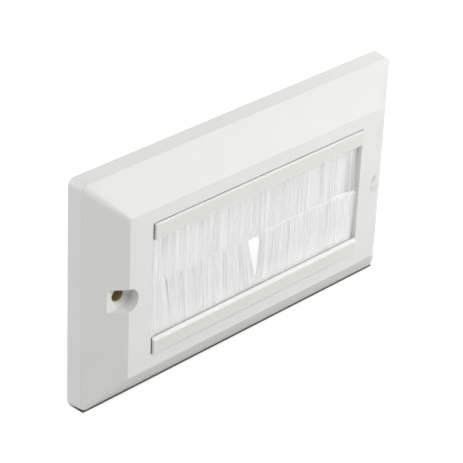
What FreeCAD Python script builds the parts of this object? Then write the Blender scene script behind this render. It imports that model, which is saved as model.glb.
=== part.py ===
import FreeCAD, Part
import math
import os
from FreeCAD import Vector

os.makedirs("parts", exist_ok=True)

# Brush wall plate: a moulded double faceplate with two brushes that close its opening round a cable.
# X runs to the right as the plate is seen on the wall, Y into the wall and Z up, all in millimetres.
# The origin is on the wall plane, midway between the two screw holes.

# Outer form of the faceplate
plate_width = 146.0
plate_height = 86.0
plate_depth = 15.4
side_depth = 6.05
side_draft = 0.45
slope_inset = 12.8
corner_radius = 2.5
face_corner_radius = 0.9
face_edge_radius = 0.7
side_edge_radius = 0.4
shell_wall = 2.2
inner_corner_radius = 0.6

# Opening in the face and the collar behind it
aperture_width = 100.2
aperture_height = 49.9
collar_wall = 1.8
collar_depth = 11.0

# Screw holes with their recesses
screw_spacing = 120.6
recess_radius = 4.25
recess_depth = 4.4
recess_wall = 1.65
countersink_radius = 3.8
screw_hole_radius = 2.4

# Ribs behind the face
rib_wall = 1.4
rib_setback = 2.6

# Brush bars: front leg, web and rear leg of one moulded section
bar_gap = 0.25
bar_end_gap = 0.45
bar_proud = 1.0
bar_height = 5.35
bar_front_leg = 2.05
bar_lip_depth = 1.1
bar_lip_rise = 0.75
bar_web = 1.3
bar_rear_leg = 1.3
bar_rear_shortfall = 0.7
bar_edge_radius = 0.4

# Snap hooks on the bars, and the windows and stops that hold them
hook_count = 3
hook_pitch = 25.0
hook_width = 8.0
hook_tongue = 1.1
hook_catch_depth = 7.1
hook_length = 2.3
hook_land = 0.5
hook_reach = 0.9
hook_tip_rise = 0.1
window_side_clearance = 0.4
window_end_clearance = 0.15
stop_reach = 1.3
stop_height = 4.0
stop_clearance = 0.1

# Strip brush: folded metal channel, core wire and filaments
channel_width = 3.2
channel_height = 3.0
channel_sheet = 0.4
channel_crimp = 0.9
channel_bend_radius = 0.5
channel_end_gap = 0.25
slide_clearance = 0.1
seat_clearance = 0.05
wire_radius = 0.4
wire_end_gap = 0.3
wire_fit = 0.02
bristle_thickness = 1.5
mouth_clearance = 0.05

# Tufts of the brushes
tuft_pitch = 1.25
tuft_root_gap = 0.05
tuft_ridge = 0.15
tuft_tip_share = 0.82
tip_thickness = 0.7
tip_overlap = 2.1
tip_clearance = 0.25
tip_drop = 0.6
tip_end_drop = 2.2
tip_wave_height = 0.35
tip_wave_length = 3.7
tip_ripple_height = 0.22
tip_ripple_length = 1.53

# Parting in the brushes where a cable comes through
parting_root_x = 2.2
parting_left_lean = 6.0
parting_left_reach = 14.0
parting_right_lean = 0.5
parting_right_reach = 4.0
parting_rise = 7.0

# Worked out from the sizes above
half_width = plate_width / 2
half_height = plate_height / 2
aperture_x = aperture_width / 2
aperture_z = aperture_height / 2
screw_x = screw_spacing / 2
boss_radius = recess_radius + recess_wall
face_y = -plate_depth
collar_end_y = face_y + collar_depth
bar_front_y = face_y - bar_proud
bar_x = aperture_x - bar_end_gap
bar_outer_z = aperture_z - bar_gap
bar_web_z = bar_outer_z - bar_web
bar_leg_z = bar_outer_z - bar_height
groove_front_y = bar_front_y + bar_front_leg
groove_back_y = groove_front_y + channel_width + 2 * slide_clearance
bar_back_y = groove_back_y + bar_rear_leg
catch_y = face_y + hook_catch_depth
hook_end_y = catch_y + hook_length
channel_x = bar_x - channel_end_gap
channel_y = (groove_front_y + groove_back_y) / 2
channel_top_z = bar_web_z - seat_clearance
mouth_z = channel_top_z - channel_height
fold_radius = channel_width / 2 - channel_sheet - seat_clearance
wire_z = channel_top_z - channel_sheet - seat_clearance - fold_radius
hook_places = [(i - (hook_count - 1) / 2) * hook_pitch for i in range(hook_count)]
rib_places = [(i - hook_count / 2) * hook_pitch for i in range(hook_count + 1)]

# Overshoot of cutting tools, and how close two places count as one
through = 1.0
same_place = 1e-6


def box(x, y, z):
    """Block between the low and high values given for each axis."""
    low = Vector(x[0], y[0], z[0])
    return Part.makeBox(x[1] - x[0], y[1] - y[0], z[1] - z[0], low)


def rounded_outline(half_x, half_z, radius, y):
    """Closed rounded rectangle on the plane at y."""
    edges = []
    bend = math.sqrt(0.5) * radius
    corners = ((1, 1), (-1, 1), (-1, -1), (1, -1))
    ends = []
    for sx, sz in corners:
        cx = sx * (half_x - radius)
        cz = sz * (half_z - radius)
        on_x = Vector(cx + sx * radius, y, cz)
        on_z = Vector(cx, y, cz + sz * radius)
        middle = Vector(cx + sx * bend, y, cz + sz * bend)
        pair = (on_x, on_z) if sx == sz else (on_z, on_x)
        ends.append((pair[0], middle, pair[1]))
    for i, (start, middle, stop) in enumerate(ends):
        edges.append(Part.Arc(start, middle, stop).toShape())
        edges.append(Part.makeLine(stop, ends[(i + 1) % 4][0]))
    return Part.Wire(edges)


def sloped_form(thickness):
    """Outer form of the plate, or the form that lies a wall's thickness inside it."""
    lean = side_draft / side_depth
    slope = (slope_inset - side_draft) / (plate_depth - side_depth)
    side_step = thickness * math.hypot(1, lean)
    slope_step = thickness * math.hypot(1, slope)
    ridge = side_depth - (slope_step - side_step) / (slope - lean)
    front = plate_depth - thickness
    base_inset = side_step
    ridge_inset = lean * ridge + side_step
    front_inset = side_draft + slope * (front - side_depth) + slope_step
    base_radius = max(corner_radius - thickness, inner_corner_radius)
    front_radius = min(face_corner_radius, base_radius)
    wires = []
    for inset, radius, y in (
        (base_inset, base_radius, 0),
        (ridge_inset, base_radius, -ridge),
        (front_inset, front_radius, -front),
    ):
        wires.append(rounded_outline(half_width - inset, half_height - inset, radius, y))
    return Part.makeLoft(wires, True, True)


def edges_on_plane(shape, y):
    """Edges whose two ends both lie on the plane at y."""
    found = []
    for edge in shape.Edges:
        if all(abs(vertex.Y - y) < same_place for vertex in edge.Vertexes):
            found.append(edge)
    return found


def extrude_section(points, low_x, high_x):
    """Prism along X over a closed outline of (y, z) points."""
    corners = [Vector(low_x, y, z) for y, z in points]
    face = Part.Face(Part.makePolygon(corners + corners[:1]))
    return face.extrude(Vector(high_x - low_x, 0, 0))


def y_cylinder(x, radius, low_y, high_y):
    """Upright bore or boss whose axis runs into the wall at the screw line."""
    return Part.makeCylinder(radius, high_y - low_y, Vector(x, low_y, 0), Vector(0, 1, 0))


def screw_boss(side):
    """Column round one screw hole, drawn out to the slope like the recess above it."""
    x = side * screw_x
    column = y_cylinder(x, boss_radius, face_y, 0)
    reach = sorted((x, x + side * boss_radius))
    block = box(reach, (face_y, 0), (-boss_radius, boss_radius))
    return column.fuse(block)


def screw_recess(side):
    """U-shaped recess that runs out through the slope, its countersink and the screw hole."""
    x = side * screw_x
    front = face_y - through
    floor = face_y + recess_depth
    pocket = y_cylinder(x, recess_radius, front, floor)
    reach = sorted((x, side * (half_width + through)))
    run_out = box(reach, (front, floor), (-recess_radius, recess_radius))
    cone_depth = countersink_radius - screw_hole_radius
    cone = Part.makeCone(
        countersink_radius, screw_hole_radius, cone_depth, Vector(x, floor, 0), Vector(0, 1, 0)
    )
    hole = y_cylinder(x, screw_hole_radius, floor, through)
    return pocket.fuse([run_out, cone, hole])


def back_ribs():
    """Ribs that tie the bosses and the collar to the outer walls."""
    depth = (face_y, -rib_setback)
    ribs = []
    for side in (-1, 1):
        x = side * screw_x
        ribs.append(box((x - rib_wall / 2, x + rib_wall / 2), depth, (-half_height, half_height)))
        reach = sorted((side * aperture_x, side * half_width))
        ribs.append(box(reach, depth, (-rib_wall / 2, rib_wall / 2)))
        span = sorted((side * aperture_z, side * half_height))
        for place in rib_places:
            ribs.append(box((place - rib_wall / 2, place + rib_wall / 2), depth, span))
    return ribs


def collar():
    """Deep frame behind the opening that the bars snap into."""
    outer_x = aperture_x + collar_wall
    outer_z = aperture_z + collar_wall
    return box((-outer_x, outer_x), (face_y, collar_end_y), (-outer_z, outer_z))


def bar_stops():
    """Ledges in the collar's corners that the ends of the bars rest against."""
    depth = (bar_back_y + stop_clearance, collar_end_y)
    stops = []
    for side_x in (-1, 1):
        for side_z in (-1, 1):
            x = sorted((side_x * (aperture_x - stop_reach), side_x * aperture_x))
            z = sorted((side_z * (aperture_z - stop_height), side_z * aperture_z))
            stops.append(box(x, depth, z))
    return stops


def catch_windows():
    """Slots in the collar that the bars' hooks spring into."""
    half = hook_width / 2 + window_side_clearance
    depth = (catch_y - window_end_clearance, hook_end_y + window_end_clearance)
    windows = []
    for side in (-1, 1):
        z = sorted((side * aperture_z, side * (aperture_z + collar_wall)))
        for place in hook_places:
            windows.append(box((place - half, place + half), depth, z))
    return windows


def faceplate():
    """One-piece moulded plate: sloped shell, ribs, collar, bosses and stops."""
    outer = sloped_form(0)
    outer = outer.makeFillet(face_edge_radius, edges_on_plane(outer, face_y))
    outer = outer.makeFillet(side_edge_radius, edges_on_plane(outer, -side_depth))
    inner = sloped_form(shell_wall)
    shell = outer.cut(inner)
    inside = [collar(), screw_boss(-1), screw_boss(1)] + back_ribs()
    inside = [piece.common(outer) for piece in inside]
    plate = shell.fuse(inside)
    hole = box((-aperture_x, aperture_x), (face_y - through, through), (-aperture_z, aperture_z))
    plate = plate.cut([hole, screw_recess(-1), screw_recess(1)] + catch_windows())
    return plate.fuse(bar_stops()).removeSplitter()


def snap_hook(place):
    """Springy tongue with a ramped hook on the outer side of a bar."""
    back = bar_back_y
    outer = bar_outer_z
    points = [
        (back, outer - hook_tongue),
        (back, outer),
        (catch_y, outer),
        (catch_y, outer + hook_reach),
        (catch_y + hook_land, outer + hook_reach),
        (hook_end_y, outer + hook_tip_rise),
        (hook_end_y, outer - hook_tongue),
    ]
    return extrude_section(points, place - hook_width / 2, place + hook_width / 2)


def upper_brush_bar():
    """Moulded bar along the top of the opening, with a lipped front leg and a groove for the strip brush."""
    rear_z = bar_leg_z + bar_rear_shortfall
    points = [
        (bar_front_y, bar_outer_z),
        (bar_front_y, bar_leg_z),
        (bar_front_y + bar_lip_depth, bar_leg_z - bar_lip_rise),
        (groove_front_y, bar_leg_z),
        (groove_front_y, bar_web_z),
        (groove_back_y, bar_web_z),
        (groove_back_y, rear_z),
        (bar_back_y, rear_z),
        (bar_back_y, bar_outer_z),
    ]
    bar = extrude_section(points, -bar_x, bar_x)
    bar = bar.makeFillet(bar_edge_radius, edges_on_plane(bar, bar_front_y))
    return bar.fuse([snap_hook(place) for place in hook_places]).removeSplitter()


def upper_brush_channel():
    """Sheet channel bent round the folded filaments and pinched at its mouth."""
    side = channel_width / 2
    lip = bristle_thickness / 2 + mouth_clearance
    top = channel_top_z
    half = [
        (side, top),
        (side, mouth_z + channel_crimp),
        (lip + channel_sheet, mouth_z),
        (lip, mouth_z),
        (side - channel_sheet, mouth_z + channel_crimp),
        (side - channel_sheet, top - channel_sheet),
    ]
    points = [(channel_y - y, z) for y, z in half]
    points += [(channel_y + y, z) for y, z in reversed(half)]
    channel = extrude_section(points, -channel_x, channel_x)
    bends = []
    for edge in channel.Edges:
        ends = [vertex.Point for vertex in edge.Vertexes]
        if all(abs(end.z - top) < same_place for end in ends) and abs(ends[0].x - ends[1].x) > side:
            bends.append(edge)
    return channel.makeFillet(channel_bend_radius, bends)


def upper_core_wire():
    """Straight wire that the filaments are folded over."""
    reach = channel_x - wire_end_gap
    return Part.makeCylinder(
        wire_radius, 2 * reach, Vector(-reach, channel_y, wire_z), Vector(1, 0, 0)
    )


def tip_wave(x):
    """Uneven length of the filaments along the brush."""
    wave = tip_wave_height * math.sin(2 * math.pi * x / tip_wave_length)
    ripple = tip_ripple_height * math.cos(2 * math.pi * x / tip_ripple_length)
    return wave + ripple


def parting_lean(x):
    """How far the tips at x lean away from the parting."""
    if x < parting_root_x:
        return -parting_left_lean * math.exp((x - parting_root_x) / parting_left_reach)
    return parting_right_lean * math.exp((parting_root_x - x) / parting_right_reach)


def parting_arch(x):
    """How much shorter the tips over the parting are."""
    half = (parting_left_lean + parting_right_lean) / 2
    middle = parting_root_x + (parting_right_lean - parting_left_lean) / 2
    share = (x - middle) / half
    if abs(share) >= 1:
        return 0.0
    return parting_rise * (1 - share ** 4)


def tuft_section(x, width, y, thickness, z):
    """Six corners of a tuft's section, with a low ridge on its front and back."""
    a = width / 2
    b = thickness / 2
    flat = b - tuft_ridge * width / tuft_pitch
    points = [(-a, -flat), (0, -b), (a, -flat), (a, flat), (0, b), (-a, flat)]
    return [Vector(x + px, y + py, z) for px, py in points]


def tuft(root, tip):
    """Tapered tuft with flat sides between the corners of its root and of its tip."""
    sides = [root, tip]
    for i in range(len(root)):
        j = (i + 1) % len(root)
        sides.append([root[i], root[j], tip[j], tip[i]])
    faces = [Part.Face(Part.makePolygon(side + side[:1])) for side in sides]
    return Part.Solid(Part.Shell(faces))


def brush_field(tip_place, lean, tip_y):
    """Filaments of the upper brush: folded over the wire, gripped, then parted into tufts."""
    half = bristle_thickness / 2
    y = (channel_y - half, channel_y + half)
    length = 2 * channel_x
    fold = Part.makeCylinder(
        fold_radius, length, Vector(-channel_x, channel_y, wire_z), Vector(1, 0, 0)
    )
    strip = box((-channel_x, channel_x), y, (mouth_z, wire_z))
    bore = Part.makeCylinder(
        wire_radius + wire_fit, length, Vector(-channel_x, channel_y, wire_z), Vector(1, 0, 0)
    )
    count = int(round(length / tuft_pitch))
    pitch = length / count
    step = pitch / 2
    tufts = []
    for i in range(count):
        x = (i + 0.5) * pitch - channel_x
        crowd = (lean(x + step) - lean(x - step)) / pitch
        if (x - step - parting_root_x) * (x + step - parting_root_x) < 0:
            crowd = 0.0
        tip_z = tip_place(x)
        reach = (mouth_z - tip_z) / mouth_z
        tip_x = x + reach * lean(x)
        tip_width = pitch * (1 + crowd) * tuft_tip_share
        root = tuft_section(x, pitch - tuft_root_gap, channel_y, bristle_thickness, mouth_z)
        tip = tuft_section(tip_x, tip_width, tip_y, tip_thickness, tip_z)
        tufts.append(tuft(root, tip))
    return fold.fuse([strip] + tufts).cut(bore).removeSplitter()


def meeting_line(x):
    """Height at x of the line along which the two brushes meet, lower towards the right end."""
    return -tip_drop - tip_end_drop * max(0.0, x) / channel_x


def upper_bristles():
    """Upper brush, whose tips pass behind those of the lower one and arch over the parting."""
    tip_y = channel_y + (tip_thickness + tip_clearance) / 2

    def tip_place(x):
        return meeting_line(x) - tip_overlap / 2 + tip_wave(x) + parting_arch(x)

    def lean(x):
        return 0.0

    return brush_field(tip_place, lean, tip_y)


def lower_bristles():
    """Lower brush, parted where the cable leaves."""
    tip_y = channel_y - (tip_thickness + tip_clearance) / 2

    def tip_place(x):
        return -(meeting_line(x) + tip_overlap / 2 + tip_wave(-x))

    return mirrored(brush_field(tip_place, parting_lean, tip_y))


def mirrored(shape):
    """The same piece turned over for the bottom of the opening."""
    return shape.mirror(Vector(0, 0, 0), Vector(0, 0, 1))


pieces = {
    "faceplate": faceplate(),
    "upper_brush_bar": upper_brush_bar(),
    "lower_brush_bar": mirrored(upper_brush_bar()),
    "upper_brush_channel": upper_brush_channel(),
    "lower_brush_channel": mirrored(upper_brush_channel()),
    "upper_core_wire": upper_core_wire(),
    "lower_core_wire": mirrored(upper_core_wire()),
    "upper_bristles": upper_bristles(),
    "lower_bristles": lower_bristles(),
}

for name, shape in pieces.items():
    shape.exportStep("parts/" + name + ".step")
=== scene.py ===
import math
import random

import bmesh
import bpy
from mathutils import Matrix, Vector


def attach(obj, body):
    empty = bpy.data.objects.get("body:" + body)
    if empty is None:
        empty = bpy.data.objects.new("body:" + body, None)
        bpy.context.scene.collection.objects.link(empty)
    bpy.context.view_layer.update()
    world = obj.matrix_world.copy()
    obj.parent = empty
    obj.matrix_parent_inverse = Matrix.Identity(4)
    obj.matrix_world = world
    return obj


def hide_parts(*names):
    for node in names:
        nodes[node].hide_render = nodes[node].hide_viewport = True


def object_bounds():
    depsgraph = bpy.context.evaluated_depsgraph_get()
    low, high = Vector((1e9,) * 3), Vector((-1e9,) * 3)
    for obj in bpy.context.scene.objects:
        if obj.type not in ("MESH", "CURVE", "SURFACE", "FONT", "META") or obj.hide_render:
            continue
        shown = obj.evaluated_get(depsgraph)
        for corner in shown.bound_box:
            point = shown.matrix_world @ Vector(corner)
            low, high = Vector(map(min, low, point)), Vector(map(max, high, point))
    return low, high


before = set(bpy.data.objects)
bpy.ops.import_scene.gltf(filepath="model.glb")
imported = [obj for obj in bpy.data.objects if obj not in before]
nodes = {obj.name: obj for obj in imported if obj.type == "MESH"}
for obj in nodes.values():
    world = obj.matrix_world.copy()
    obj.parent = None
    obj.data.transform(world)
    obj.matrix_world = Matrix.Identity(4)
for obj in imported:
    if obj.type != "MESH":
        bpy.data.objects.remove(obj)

# Brush wall plate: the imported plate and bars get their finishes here, and both brushes get their filaments.
# Lengths are in millimetres unless a comment says metres, and MM turns them into metres.
cad_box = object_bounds()
MM = 0.001
WHITE = (1.0, 1.0, 1.0, 1.0)
BLACK = (0.0, 0.0, 0.0, 1.0)

# Camera, fitted to the outline of the plate in the photograph. Its clipping distances are in metres.
camera_azimuth = -46.497
camera_elevation = 29.995
camera_roll = 2.632
camera_distance = 736.035
camera_target = (-7.337, -9.0, 2.922)
camera_clip = (0.05, 20.0)
focal_pixels = 2181.451
image_pixels = 463
sensor_width = 36.0

# Soft lights: place and side in metres, strength in watts
softboxes = {
    "front_high_softbox": ((-0.378, -0.54, 0.942), 0.6, 4.344),
    "front_softbox": ((0.0, -0.813, 0.813), 0.6, 1.65),
    "front_right_softbox": ((0.571, -0.816, 0.575), 0.6, 3.786),
    "near_right_softbox": ((0.35, -0.4, 0.12), 0.2, 0.665),
    "back_right_softbox": ((1.015, 0.37, 0.393), 0.6, 3.852),
    "back_left_softbox": ((-0.498, 0.863, 0.575), 0.6, 7.122),
    "left_softbox": ((-1.044, 0.38, 0.298), 0.6, 1.458),
}
room_light = 0.1
backdrop_glow = 0.75

# Floor, with half its size in metres, and the narrow strip of it under the plate's edge where a contact
# shadow is painted
floor_half_size = 4.0
floor_tone = 0.7
floor_glow = 0.5
floor_roughness = 0.9
contact_shadow_tone = 0.15
contact_reach = 0.6
contact_core = 0.2
contact_x = 71.4
contact_y = -6.0

# Plate, with a warm brown shade painted on the walls deep in its screw bores
plate_light = (0.8, 0.8, 0.785, 1.0)
plate_dark = (0.765, 0.765, 0.75, 1.0)
screw_x = 60.3
bore_tint_radius = 2.5
bore_tint_y = -10.0
painted_bore_shade = (0.42, 0.3, 0.15, 1.0)

# Bars, with a painted highlight along their borders and lip, and painted shade in the gaps round them
bar_light = (0.762, 0.766, 0.722, 1.0)
bar_dark = (0.728, 0.732, 0.688, 1.0)
bar_end_x = 49.6
bar_edge_z = 24.65
bar_lip_z = 19.7
highlight_at_end = 0.35
highlight_at_edge = 0.15
painted_highlight_tint = (0.86, 0.865, 0.83, 1.0)
gap_y = -15.35
painted_gap_shade = (0.1, 0.1, 0.09, 1.0)

# Hidden metal, drawn out along X
channel_light = (0.7, 0.71, 0.72, 1.0)
channel_dark = (0.55, 0.56, 0.57, 1.0)
wire_light = (0.55, 0.56, 0.57, 1.0)
wire_dark = (0.42, 0.43, 0.44, 1.0)
drawn_stretch = 0.02

# Nylon. Places on a filament run from 0 at its root to 1 at its tip.
nylon_light = (0.995, 0.995, 0.995, 1.0)
nylon_dark = (0.3, 0.3, 0.3, 1.0)
shade_power = 1.4
# Painted shade on the filaments just out of the mouth of the bar
mouth_shade = 0.6
mouth_shade_fade = (0.035, 0.06)
# Painted glow along the filaments: strongest at the roots and the cut tips, and at the tips weaker on the
# untidy left
mouth_glow_fade = (0.04, 0.07)
painted_root_glow = 0.06
painted_body_glow = 0.012
root_glow_fade = (0.15, 0.38)
painted_tip_glow = 0.065
tip_glow_fade = (0.93, 0.98)
untidy_tip_share = 0.4
combed_x = (2.0, 8.0)

# Brushes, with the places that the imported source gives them
brush_half_length = 49.8
brush_y = -12.65
mouth_z = 20.35
root_z = 21.1
root_half_thickness = 0.66
tip_half_thickness = 0.45
tip_offset = 0.16
tip_lean = 0.25
wall_x = 49.98

# Filaments and the thicker strands of the core, and the levels at which each is drawn out
filament_count = 6600
filament_width = 0.18
core_count = 500
core_width = 0.45
core_shortfall = 0.35
tip_taper = 0.8
levels = (0.0, 0.12, 0.4, 0.75, 1.0)

# Unevenness of single filaments
stray_spread = 0.1
bow_spread = 0.08
tip_spread = 0.12
tone_spread = 0.03
short_share = 0.1
short_cut = (0.2, 1.4)
curl_power = 1.6
split_shade_width = 0.3

# Bundles of filaments that cling together. Clinging is the pinch, lean and push of the bundles in a brush.
bundle_width = (0.3, 1.3)
bundle_pinch = (0.1, 1.0)
bundle_length_spread = 0.35
upper_clinging = (0.04, 0.03, 0.012)
lower_clinging = (0.08, 0.07, 0.025)

# Looseness of both brushes, which are combed smooth at the right and untidy at the left
brush_seed = 4
combed_looseness = 0.25
untidy_extra = 0.6
untidy_x = -6.0
untidy_reach = 8.0

# Filaments at the ends of the brushes, against the walls of the opening
end_splay_size = 0.7
end_splay_reach = 1.2
right_tips_forward = -0.8
right_forward_reach = 1.5
right_flare_reach = 2.5

# Lines of the cut tips: the upper one rises in an arch over the parting, the lower one falls at the right
upper_tip_z = -1.7
upper_tip_fall = 2.0
arch_x = -0.95
arch_half_width = 3.3
arch_foot_z = -0.5
arch_rise = 0.35
lower_tip_z = 0.75
lower_loose_drop = 0.3
lower_fall_x = 40.0
lower_fall_rate = 0.012

# Ripples of the trimmed tips: size, length and start
upper_ripples = ((0.3, 2.1, 0.4), (0.2, 0.7, 1.3))
lower_ripples = ((0.3, 2.4, 2.0), (0.18, 0.8, 0.3))

# Sideways lean of the tips, to the left where it is negative
upper_sweep = -1.4
upper_sweep_x = -21.0
upper_sweep_width = 5.0
lower_sweep = -1.5
lower_sweep_x = -14.0
lower_sweep_reach = 6.0
corner_sweep = -1.8
corner_sweep_x = -39.0
corner_sweep_width = 3.5
main_parting = {"root_x": 2.2, "left": 6.0, "left_reach": 9.0, "right": 0.7, "right_reach": 3.0}

# Places where filaments part slightly: root, opening at the tips, reach to the sides and depth of the shade
# painted on them
upper_splits = (
    (-45.5, 0.12, 0.8, 0.3),
    (-33.0, 0.08, 0.8, 0.1),
    (-21.0, 0.1, 1.2, 0.14),
    (43.6, 0.1, 0.4, 0.3),
    (44.7, 0.12, 0.4, 0.55),
    (45.5, 0.12, 0.4, 0.5),
    (46.4, 0.12, 0.4, 0.7),
    (47.3, 0.12, 0.4, 0.6),
    (48.2, 0.12, 0.4, 0.5),
)
lower_splits = (
    (-38.6, 0.08, 0.9, 0.35),
    (-33.7, 0.15, 0.9, 0.25),
    (-27.9, 0.1, 0.9, 0.15),
    (-24.2, 0.15, 0.8, 0.25),
    (-13.0, 0.08, 0.8, 0.12),
    (36.4, 0.1, 0.5, 0.3),
)


def shader_group(name, inputs, outputs):
    """Empty node group with named inputs and outputs, and its two end nodes."""
    group = bpy.data.node_groups.new(name, "ShaderNodeTree")
    for label, kind, value in inputs:
        socket = group.interface.new_socket(name=label, in_out="INPUT", socket_type=kind)
        if value is not None:
            socket.default_value = value
    for label, kind in outputs:
        group.interface.new_socket(name=label, in_out="OUTPUT", socket_type=kind)
    start = group.nodes.new("NodeGroupInput")
    end = group.nodes.new("NodeGroupOutput")
    return group, start, end


def math_node(tree, operation, *operands):
    """One Math node, whose operands are sockets or numbers."""
    node = tree.nodes.new("ShaderNodeMath")
    node.operation = operation
    for place, value in enumerate(operands):
        if isinstance(value, (int, float)):
            node.inputs[place].default_value = value
        else:
            tree.links.new(value, node.inputs[place])
    return node.outputs[0]


def axes(tree, vector):
    """The three numbers of a vector."""
    parts = tree.nodes.new("ShaderNodeSeparateXYZ")
    tree.links.new(vector, parts.inputs["Vector"])
    return parts.outputs


def faded(tree, value, span, first, last):
    """Level taken smoothly from first to last as the value crosses the span."""
    fade = tree.nodes.new("ShaderNodeMapRange")
    fade.interpolation_type = "SMOOTHSTEP"
    fade.inputs["From Min"].default_value = span[0]
    fade.inputs["From Max"].default_value = span[1]
    fade.inputs["To Min"].default_value = first
    fade.inputs["To Max"].default_value = last
    tree.links.new(value, fade.inputs["Value"])
    return fade.outputs["Result"]


def make_moulding_grain():
    """Fine grain that a moulding keeps from its tool, with slow unevenness under it."""
    group, start, end = shader_group(
        "moulding_grain",
        [
            ("Vector", "NodeSocketVector", None),
            ("Grain Scale", "NodeSocketFloat", 2500.0),
            ("Flow Scale", "NodeSocketFloat", 60.0),
            ("Flow Share", "NodeSocketFloat", 0.4),
        ],
        [("Height", "NodeSocketFloat"), ("Flow", "NodeSocketFloat")],
    )
    grain = group.nodes.new("ShaderNodeTexNoise")
    grain.inputs["Detail"].default_value = 3.0
    flow = group.nodes.new("ShaderNodeTexNoise")
    flow.inputs["Detail"].default_value = 2.0
    for node, scale in ((grain, "Grain Scale"), (flow, "Flow Scale")):
        group.links.new(start.outputs["Vector"], node.inputs["Vector"])
        group.links.new(start.outputs[scale], node.inputs["Scale"])
    mixed = math_node(
        group, "MULTIPLY_ADD", flow.outputs["Fac"], start.outputs["Flow Share"], grain.outputs["Fac"]
    )
    group.links.new(mixed, end.inputs["Height"])
    group.links.new(flow.outputs["Fac"], end.inputs["Flow"])
    return group


def make_tone_drift():
    """Colour that goes from dark to light with a mask."""
    group, start, end = shader_group(
        "tone_drift",
        [
            ("Mask", "NodeSocketFloat", 0.5),
            ("Light Colour", "NodeSocketColor", (0.8, 0.8, 0.8, 1.0)),
            ("Dark Colour", "NodeSocketColor", (0.7, 0.7, 0.7, 1.0)),
        ],
        [("Colour", "NodeSocketColor")],
    )
    mix = group.nodes.new("ShaderNodeMix")
    mix.data_type = "RGBA"
    group.links.new(start.outputs["Mask"], mix.inputs["Factor"])
    group.links.new(start.outputs["Dark Colour"], mix.inputs["A"])
    group.links.new(start.outputs["Light Colour"], mix.inputs["B"])
    group.links.new(mix.outputs["Result"], end.inputs["Colour"])
    return group


grain_group = make_moulding_grain()
drift_group = make_tone_drift()


def new_material(name):
    """Material with a bare Principled shader, and Object coordinates through a Mapping node."""
    material = bpy.data.materials.new(name)
    material.use_nodes = True
    tree = material.node_tree
    shader = tree.nodes["Principled BSDF"]
    place = tree.nodes.new("ShaderNodeTexCoord")
    mapping = tree.nodes.new("ShaderNodeMapping")
    tree.links.new(place.outputs["Object"], mapping.inputs["Vector"])
    return material, tree, shader, mapping


def placed(tree, group, values):
    """The shared effect in this material, with its own values."""
    node = tree.nodes.new("ShaderNodeGroup")
    node.node_tree = group
    for label, value in values.items():
        if hasattr(value, "is_output"):
            tree.links.new(value, node.inputs[label])
        else:
            node.inputs[label].default_value = value
    return node


def drifting(tree, mask, light, dark):
    """Colour that drifts from dark to light with a mask."""
    node = placed(tree, drift_group, {"Mask": mask, "Light Colour": light, "Dark Colour": dark})
    return node.outputs["Colour"]


def bump(tree, shader, height, strength, distance):
    """Surface relief from a height."""
    node = tree.nodes.new("ShaderNodeBump")
    node.inputs["Strength"].default_value = strength
    node.inputs["Distance"].default_value = distance
    tree.links.new(height, node.inputs["Height"])
    tree.links.new(node.outputs["Normal"], shader.inputs["Normal"])


def moulded_plastic(name, light, dark, low_roughness, grain_scale):
    """White moulding with a fine grain and a slow drift in tone and gloss. Its colour isn't linked yet."""
    material, tree, shader, mapping = new_material(name)
    grain = placed(tree, grain_group, {"Vector": mapping.outputs["Vector"], "Grain Scale": grain_scale})
    colour = drifting(tree, grain.outputs["Flow"], light, dark)
    gloss = math_node(tree, "MULTIPLY_ADD", grain.outputs["Flow"], 0.1, low_roughness)
    tree.links.new(gloss, shader.inputs["Roughness"])
    bump(tree, shader, grain.outputs["Height"], strength=0.25, distance=2e-5)
    return material, tree, shader, axes(tree, mapping.outputs["Vector"]), colour


def plate_material():
    """Satin white moulding of the plate, with a warm brown shade painted deep inside the screw bores."""
    material, tree, shader, (x, y, z), colour = moulded_plastic(
        "plate_plastic_finish", plate_light, plate_dark, low_roughness=0.36, grain_scale=2400.0
    )
    # Painted shade: deep in each screw bore the walls are coloured a dark warm brown
    off_axis = math_node(tree, "SUBTRACT", math_node(tree, "ABSOLUTE", x), screw_x * MM)
    wide = math_node(tree, "POWER", off_axis, 2.0)
    tall = math_node(tree, "POWER", z, 2.0)
    radius = math_node(tree, "SQRT", math_node(tree, "ADD", wide, tall))
    inside = math_node(tree, "LESS_THAN", radius, bore_tint_radius * MM)
    deep = math_node(tree, "GREATER_THAN", y, bore_tint_y * MM)
    bore_shaded = math_node(tree, "MULTIPLY", inside, deep)
    colour = drifting(tree, bore_shaded, painted_bore_shade, colour)
    tree.links.new(colour, shader.inputs["Base Color"])
    return material


def bar_material():
    """Duller and slightly warmer moulding of the bars, with a painted highlight on its borders and painted
    shade where it stands in its gap.
    """
    material, tree, shader, (x, y, z), colour = moulded_plastic(
        "bar_plastic_finish", bar_light, bar_dark, low_roughness=0.42, grain_scale=3000.0
    )
    across = math_node(tree, "ABSOLUTE", x)
    high = math_node(tree, "ABSOLUTE", z)
    # Painted highlight: the ends, outer edges and inner lips of the bars are coloured lighter
    near_end = math_node(tree, "GREATER_THAN", across, (bar_end_x - highlight_at_end) * MM)
    near_edge = math_node(tree, "GREATER_THAN", high, (bar_edge_z - highlight_at_edge) * MM)
    near_lip = math_node(tree, "LESS_THAN", high, bar_lip_z * MM)
    border = math_node(tree, "MAXIMUM", math_node(tree, "MAXIMUM", near_end, near_edge), near_lip)
    colour = drifting(tree, border, painted_highlight_tint, colour)
    # Painted shade: where the bars sink into the gaps at their ends and outer edge, they are coloured nearly
    # black
    at_end = math_node(tree, "GREATER_THAN", across, bar_end_x * MM)
    at_edge = math_node(tree, "GREATER_THAN", high, bar_edge_z * MM)
    sunk = math_node(tree, "GREATER_THAN", y, gap_y * MM)
    in_gap = math_node(tree, "MULTIPLY", math_node(tree, "MAXIMUM", at_end, at_edge), sunk)
    colour = drifting(tree, in_gap, painted_gap_shade, colour)
    tree.links.new(colour, shader.inputs["Base Color"])
    return material


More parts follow.
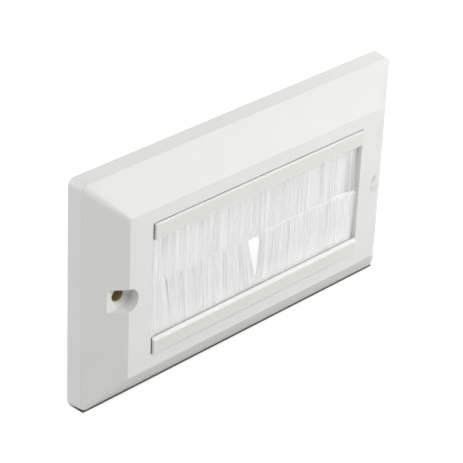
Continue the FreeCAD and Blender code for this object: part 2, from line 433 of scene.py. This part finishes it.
def drawn_metal(name, light, dark, low_roughness):
    """Steel drawn along X, with fine lengthwise lines."""
    material, tree, shader, mapping = new_material(name)
    mapping.inputs["Scale"].default_value = (drawn_stretch, 1.0, 1.0)
    grain = placed(
        tree, grain_group, {"Vector": mapping.outputs["Vector"], "Grain Scale": 6000.0, "Flow Scale": 900.0}
    )
    colour = drifting(tree, grain.outputs["Flow"], light, dark)
    tree.links.new(colour, shader.inputs["Base Color"])
    shader.inputs["Metallic"].default_value = 1.0
    gloss = math_node(tree, "MULTIPLY_ADD", grain.outputs["Flow"], 0.15, low_roughness)
    tree.links.new(gloss, shader.inputs["Roughness"])
    bump(tree, shader, grain.outputs["Height"], strength=0.2, distance=1e-5)
    return material


def nylon_material():
    """White nylon, toned filament by filament, with painted shade in partings and at the bar mouth, and a
    painted glow strongest at roots and cut tips.
    """
    material, tree, shader, mapping = new_material("bristle_nylon_finish")
    strand_map = tree.nodes.new("ShaderNodeUVMap")
    strand_map.uv_map = "strand"
    tone, along, _ = axes(tree, strand_map.outputs["UV"])
    shade = math_node(tree, "SUBTRACT", 1.0, tone)
    shade = math_node(tree, "MULTIPLY", shade, math_node(tree, "POWER", along, shade_power))
    # Painted shade: the filaments are darkened at the partings and just out of the bar's mouth
    shade = math_node(tree, "MAXIMUM", shade, faded(tree, along, mouth_shade_fade, mouth_shade, 0.0))
    colour = drifting(tree, math_node(tree, "SUBTRACT", 1.0, shade), nylon_light, nylon_dark)
    tree.links.new(colour, shader.inputs["Base Color"])
    gloss = math_node(tree, "MULTIPLY_ADD", shade, 0.3, 0.4)
    tree.links.new(gloss, shader.inputs["Roughness"])
    # Painted glow: the filaments give off light of their own, strongest at the roots and cut tips
    root_light = faded(tree, along, root_glow_fade, painted_root_glow, painted_body_glow)
    out_of_bar = faded(tree, along, mouth_glow_fade, 0.0, 1.0)
    root_light = math_node(tree, "MULTIPLY", root_light, out_of_bar)
    tip_light = faded(tree, along, tip_glow_fade, 0.0, painted_tip_glow)
    x = axes(tree, mapping.outputs["Vector"])["X"]
    combed = faded(tree, x, [edge * MM for edge in combed_x], untidy_tip_share, 1.0)
    tip_light = math_node(tree, "MULTIPLY", tip_light, combed)
    painted_glow = math_node(tree, "ADD", root_light, tip_light)
    tree.links.new(drifting(tree, painted_glow, WHITE, BLACK), shader.inputs["Emission Color"])
    shader.inputs["Emission Strength"].default_value = 1.0
    return material


def wear(node_name, material):
    """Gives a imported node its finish."""
    for place in nodes[node_name].material_slots:
        place.material = material


def finished(name, mesh_data, material):
    """Object made of a finished bmesh, with its material."""
    mesh = bpy.data.meshes.new(name)
    mesh_data.to_mesh(mesh)
    mesh_data.free()
    mesh.materials.append(material)
    piece = bpy.data.objects.new(name, mesh)
    bpy.context.scene.collection.objects.link(piece)
    return piece


def ripple(x, ripples):
    """Slow unevenness of the trimmed tips."""
    return sum(size * math.sin(x / length + start) for size, length, start in ripples)


def swell(x, centre, width):
    """One at the centre, falling off smoothly to both sides."""
    return math.exp(-(((x - centre) / width) ** 2))


def leftward(x, centre, width):
    """One on the left, falling off smoothly to nothing on the right of the centre."""
    return 0.5 - 0.5 * math.tanh((x - centre) / width)


def at_right_wall(x, reach):
    """One at the right wall, falling off to the left."""
    return math.exp((x - brush_half_length) / reach)


def parting(x, root_x, left, left_reach, right, right_reach):
    """Sideways lean of the tips on the two sides of a parting."""
    if x < root_x:
        return -left * math.exp((x - root_x) / left_reach)
    return right * math.exp((root_x - x) / right_reach)


def looseness(x):
    """The brush is untidy at its left end and combed smooth towards the right."""
    return combed_looseness + untidy_extra * leftward(x, untidy_x, untidy_reach)


def end_splay(x):
    """Filaments at the two ends of a brush lean out against the walls of the opening."""
    room = brush_half_length - abs(x)
    return math.copysign(end_splay_size * math.exp(-room / end_splay_reach), x)


def end_forward(x, side):
    """The lower tips at the right wall stand forward of the rest."""
    if side > 0:
        return 0.0
    return right_tips_forward * at_right_wall(x, right_forward_reach)


def upper_tip_line(x):
    """Tips of the upper brush: behind the lower ones, and cut short over the parting."""
    z = upper_tip_z - upper_tip_fall * max(0.0, x) / brush_half_length + ripple(x, upper_ripples)
    arch = (x - arch_x) / arch_half_width
    if abs(arch) < 1:
        z = max(z, arch_foot_z + arch_rise * (1 - arch ** 2))
    return z


def upper_lean(x):
    """The upper filaments hang straight but for one swept place."""
    return upper_sweep * swell(x, upper_sweep_x, upper_sweep_width)


def lower_tip_line(x):
    """Tips of the lower brush in the turned-over frame, dropping towards the right wall."""
    fall = lower_fall_rate * max(0.0, x - lower_fall_x) ** 2
    z = lower_tip_z - lower_loose_drop * looseness(x) - fall
    return -(z + looseness(x) * ripple(x, lower_ripples))


def lower_lean(x):
    """Lean away from the parting, swept to the left beyond it, with a flare at the right wall."""
    swept = lower_sweep * leftward(x, lower_sweep_x, lower_sweep_reach)
    swept += corner_sweep * swell(x, corner_sweep_x, corner_sweep_width)
    return parting(x, **main_parting) + swept + at_right_wall(x, right_flare_reach)


def clumps(rng, pinch, lean, push):
    """Filaments that cling together: edges, pinch, lean, push and extra length of each bundle."""
    found = []
    x = -brush_half_length
    while x < brush_half_length:
        width = rng.uniform(*bundle_width)
        loose = looseness(x)
        found.append(
            (
                x,
                min(x + width, brush_half_length),
                rng.uniform(*bundle_pinch) * pinch * loose,
                rng.gauss(0.0, lean) * loose,
                rng.gauss(0.0, push) * loose,
                rng.gauss(0.0, bundle_length_spread) * loose,
            )
        )
        x += width
    return found


def strand_paths(rng, side, tip_line, lean, splits, bundles, tip_y, count, spread, shortfall):
    """Points and tone of every strand, from inside the channel to its cut tip."""
    paths = []
    place = 0
    for i in range(count):
        x = -brush_half_length + (i + rng.random()) / count * 2 * brush_half_length
        while place < len(bundles) - 1 and x > bundles[place][1]:
            place += 1
        low, high, pinch, sway, push, longer = bundles[place]
        depth = rng.uniform(-1.0, 1.0) * spread
        stray = rng.gauss(0.0, stray_spread) * spread
        bow = rng.gauss(0.0, bow_spread) * spread
        tip_z = tip_line(x) + longer + rng.gauss(0.0, tip_spread) * spread + shortfall
        if rng.random() < short_share * looseness(x):
            tip_z += rng.uniform(*short_cut)
        reach = (mouth_z - tip_z) / mouth_z
        straight = lean(x) * reach
        shade = tone_spread * rng.random()
        # Each parting darkens its filaments with painted shade, on top of the tone that differs at random
        for split_x, opening, width, depth_of_shade in splits:
            straight += parting(x, split_x, opening / 2, width, opening / 2, width)
            shade = max(shade, depth_of_shade * swell(x, split_x, split_shade_width))
        middle = (low + high) / 2
        curled = sway + (middle - x) * pinch + stray
        start_y = brush_y + depth * root_half_thickness
        end_y = tip_y + push + depth * tip_half_thickness + end_forward(x, side)
        points = []
        for t in levels:
            z = root_z + (tip_z - root_z) * t
            px = x + straight * t + curled * t ** curl_power + bow * math.sin(math.pi * t)
            px += end_splay(x) * math.sqrt(t)
            px = max(-wall_x, min(wall_x, px))
            py = start_y + (end_y - start_y) * t
            points.append(Vector((px, py, z * side)) * MM)
        paths.append((points, 1.0 - shade))
    return paths


def grow_strands(name, paths, widths, rng, material):
    """Three-sided strands, all drawn out of their root faces together."""
    mesh_data = bmesh.new()
    strand = mesh_data.verts.layers.int.new("strand")
    corner = mesh_data.verts.layers.int.new("corner")
    level = mesh_data.verts.layers.int.new("level")
    turns = [rng.uniform(0.0, 2 * math.pi) for _ in paths]

    def rim_point(i, k, step):
        angle = turns[i] + k * 2 * math.pi / 3
        thin = 1.0 if step < len(levels) - 1 else tip_taper
        radius = widths[i] * MM / math.sqrt(3) * thin
        return paths[i][0][step] + Vector((math.cos(angle), math.sin(angle), 0.0)) * radius

    for i in range(len(paths)):
        rim = []
        for k in range(3):
            vertex = mesh_data.verts.new(rim_point(i, k, 0))
            vertex[strand] = i
            vertex[corner] = k
            rim.append(vertex)
        mesh_data.faces.new(rim)
    ends = list(mesh_data.faces)
    for step in range(1, len(levels)):
        drawn = bmesh.ops.extrude_face_region(mesh_data, geom=ends)["geom"]
        if step > 1:
            bmesh.ops.delete(mesh_data, geom=ends, context="FACES_ONLY")
        for part in drawn:
            if isinstance(part, bmesh.types.BMVert):
                part.co = rim_point(part[strand], part[corner], step)
                part[level] = step
        ends = [part for part in drawn if isinstance(part, bmesh.types.BMFace)]
    bmesh.ops.recalc_face_normals(mesh_data, faces=mesh_data.faces)
    strand_map = mesh_data.loops.layers.uv.new("strand")
    for face in mesh_data.faces:
        for loop in face.loops:
            tone = paths[loop.vert[strand]][1]
            loop[strand_map].uv = (tone, levels[loop.vert[level]])
    piece = finished(name, mesh_data, material)
    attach(piece, "root")
    return piece


def make_brush(rng, name, side, tip_line, lean, splits, bundles, tip_y, nylon):
    """One brush: fine filaments in front of and behind a core of thicker ones."""
    shape = (side, tip_line, lean, splits, bundles, tip_y)
    fine = strand_paths(rng, *shape, filament_count, 1.0, 0.0)
    core = strand_paths(rng, *shape, core_count, 0.0, core_shortfall)
    widths = [filament_width] * len(fine) + [core_width] * len(core)
    return grow_strands(name, fine + core, widths, rng, nylon)


def make_brushes():
    """Both brushes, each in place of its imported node."""
    nylon = nylon_material()
    rng = random.Random(brush_seed)
    bundles = clumps(rng, *upper_clinging)
    upper_y = brush_y - tip_lean + tip_offset
    upper = make_brush(
        rng, "upper_filaments", 1, upper_tip_line, upper_lean, upper_splits, bundles, upper_y, nylon
    )
    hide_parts("upper_bristles")
    bundles = clumps(rng, *lower_clinging)
    lower_y = brush_y - tip_lean - tip_offset
    lower = make_brush(
        rng, "lower_filaments", -1, lower_tip_line, lower_lean, lower_splits, bundles, lower_y, nylon
    )
    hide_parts("lower_bristles")


def contact_shadow_mask(tree, vector):
    """White on the narrow strip of floor where the plate's contact shadow is painted."""
    x, y, _ = axes(tree, vector)
    beside = math_node(tree, "SUBTRACT", math_node(tree, "ABSOLUTE", x), contact_x * MM)
    ahead = math_node(tree, "MULTIPLY_ADD", y, -1.0, contact_y * MM)
    outside = math_node(tree, "MAXIMUM", beside, math_node(tree, "MAXIMUM", y, ahead))
    span = (contact_core * contact_reach * MM, contact_reach * MM)
    return faded(tree, outside, span, 1.0, 0.0)


def floor_material():
    """Pale paper that looks evenly lit to the camera, with a painted contact shadow under the plate."""
    material, tree, shader, mapping = new_material("floor_paper")
    # Painted shadow: a dark strip along the plate's foot, where the floor's glow is also taken away
    contact = contact_shadow_mask(tree, mapping.outputs["Vector"])
    pale = (floor_tone, floor_tone, floor_tone, 1.0)
    dark = (contact_shadow_tone, contact_shadow_tone, contact_shadow_tone, 1.0)
    tree.links.new(drifting(tree, contact, dark, pale), shader.inputs["Base Color"])
    shader.inputs["Roughness"].default_value = floor_roughness
    shader.inputs["Emission Color"].default_value = WHITE
    seen = tree.nodes.new("ShaderNodeLightPath")
    lit = math_node(tree, "MULTIPLY", math_node(tree, "SUBTRACT", 1.0, contact), floor_glow)
    glow = math_node(tree, "MULTIPLY", seen.outputs["Is Camera Ray"], lit)
    tree.links.new(glow, shader.inputs["Emission Strength"])
    return material


def make_floor():
    """Plain pale floor under the plate."""
    mesh_data = bmesh.new()
    bmesh.ops.create_grid(mesh_data, x_segments=1, y_segments=1, size=floor_half_size)
    bmesh.ops.translate(mesh_data, vec=(0, 0, cad_box[0][2]), verts=mesh_data.verts)
    floor = finished("floor", mesh_data, floor_material())


def make_lights():
    """Large soft lights that face the plate, and an even room light behind a pale backdrop."""
    centre = (Vector(cad_box[0]) + Vector(cad_box[1])) / 2
    for name, (place, side, strength) in softboxes.items():
        light = bpy.data.lights.new(name, "AREA")
        light.shape = "SQUARE"
        light.size = side
        light.energy = strength
        lamp = bpy.data.objects.new(name, light)
        lamp.location = place
        lamp.rotation_euler = (centre - Vector(place)).to_track_quat("-Z", "Y").to_euler()
        bpy.context.scene.collection.objects.link(lamp)
    world = bpy.data.worlds.new("room")
    world.use_nodes = True
    tree = world.node_tree
    sky = tree.nodes["Background"]
    sky.inputs["Color"].default_value = WHITE
    seen = tree.nodes.new("ShaderNodeLightPath")
    strength = math_node(tree, "MULTIPLY_ADD", seen.outputs["Is Camera Ray"], backdrop_glow, room_light)
    tree.links.new(strength, sky.inputs["Strength"])
    bpy.context.scene.world = world


def make_camera():
    """Camera at the photograph's place, turned slightly about its own axis."""
    azimuth = math.radians(camera_azimuth)
    elevation = math.radians(camera_elevation)
    roll = math.radians(camera_roll)
    back = Vector(
        (
            math.sin(azimuth) * math.cos(elevation),
            -math.cos(azimuth) * math.cos(elevation),
            math.sin(elevation),
        )
    )
    level_right = (-back).cross(Vector((0, 0, 1))).normalized()
    level_up = level_right.cross(-back)
    right = math.cos(roll) * level_right + math.sin(roll) * level_up
    up = math.cos(roll) * level_up - math.sin(roll) * level_right
    place = (Vector(camera_target) + back * camera_distance) * MM
    turn = Matrix((right, up, back)).transposed().to_4x4()
    data = bpy.data.cameras.new("camera")
    data.sensor_fit = "HORIZONTAL"
    data.sensor_width = sensor_width
    data.lens = focal_pixels * sensor_width / image_pixels
    data.clip_start, data.clip_end = camera_clip
    camera = bpy.data.objects.new("camera", data)
    camera.matrix_world = Matrix.Translation(place) @ turn
    bpy.context.scene.collection.objects.link(camera)
    bpy.context.scene.camera = camera


bpy.context.scene.view_settings.view_transform = "Standard"
make_camera()
make_lights()
make_floor()
wear("faceplate", plate_material())
bar_finish = bar_material()
wear("upper_brush_bar", bar_finish)
wear("lower_brush_bar", bar_finish)
channel_finish = drawn_metal("channel_steel_finish", channel_light, channel_dark, low_roughness=0.25)
wear("upper_brush_channel", channel_finish)
wear("lower_brush_channel", channel_finish)
wire_finish = drawn_metal("wire_steel_finish", wire_light, wire_dark, low_roughness=0.3)
wear("upper_core_wire", wire_finish)
wear("lower_core_wire", wire_finish)
make_brushes()
